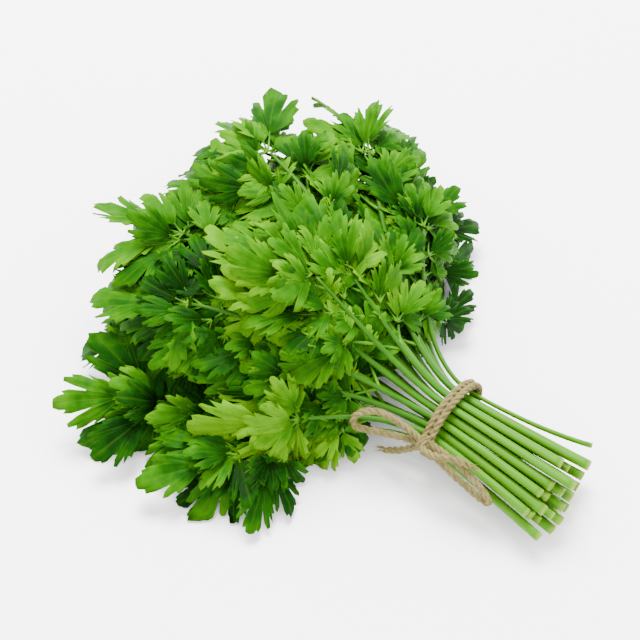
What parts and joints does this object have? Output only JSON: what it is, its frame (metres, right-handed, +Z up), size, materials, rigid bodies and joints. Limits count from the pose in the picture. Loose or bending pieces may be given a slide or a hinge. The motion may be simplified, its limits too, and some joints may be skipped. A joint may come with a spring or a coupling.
{
  "type": "bunch of flat-leaf parsley",
  "caption": "Bunch of fresh flat-leaf herb sprigs lying on its side, the long stems tied with jute twine in a bow and the leaves fanned out in a full head.",
  "frame": {"origin": "on the surface that the bunch lies on, under the middle of its bounding box", "axes": "+X along the stems towards their cut ends, so the leaves are at -X; +Y across the bunch, away from the bow; +Z up from the surface"},
  "size_m": [0.2732, 0.2486, 0.1026],
  "materials": {
    "sprig": "fresh green leaf and stem, slightly glossy on the upper side",
    "twine": "rough twisted jute with loose fibres"
  },
  "bodies": {
    "root": {"twine_tie": "twine", "bow_loop_left": "twine", "bow_loop_right": "twine", "twine_tail_left": "twine", "twine_tail_right": "twine", "sprig_01": "sprig", "sprig_02": "sprig", "sprig_03": "sprig", "sprig_04": "sprig", "sprig_05": "sprig", "sprig_06": "sprig", "sprig_07": "sprig", "sprig_08": "sprig", "sprig_09": "sprig", "sprig_10": "sprig", "sprig_11": "sprig", "sprig_12": "sprig", "sprig_13": "sprig", "sprig_14": "sprig", "sprig_15": "sprig", "sprig_16": "sprig", "sprig_17": "sprig", "sprig_18": "sprig", "sprig_19": "sprig", "sprig_20": "sprig", "sprig_21": "sprig", "sprig_22": "sprig", "sprig_23": "sprig", "sprig_24": "sprig", "sprig_25": "sprig", "sprig_26": "sprig", "sprig_27": "sprig", "sprig_28": "sprig", "sprig_29": "sprig", "sprig_30": "sprig", "sprig_31": "sprig", "sprig_32": "sprig", "sprig_33": "sprig", "sprig_34": "sprig", "sprig_35": "sprig", "sprig_36": "sprig", "sprig_37": "sprig"}
  },
  "joints": []
}
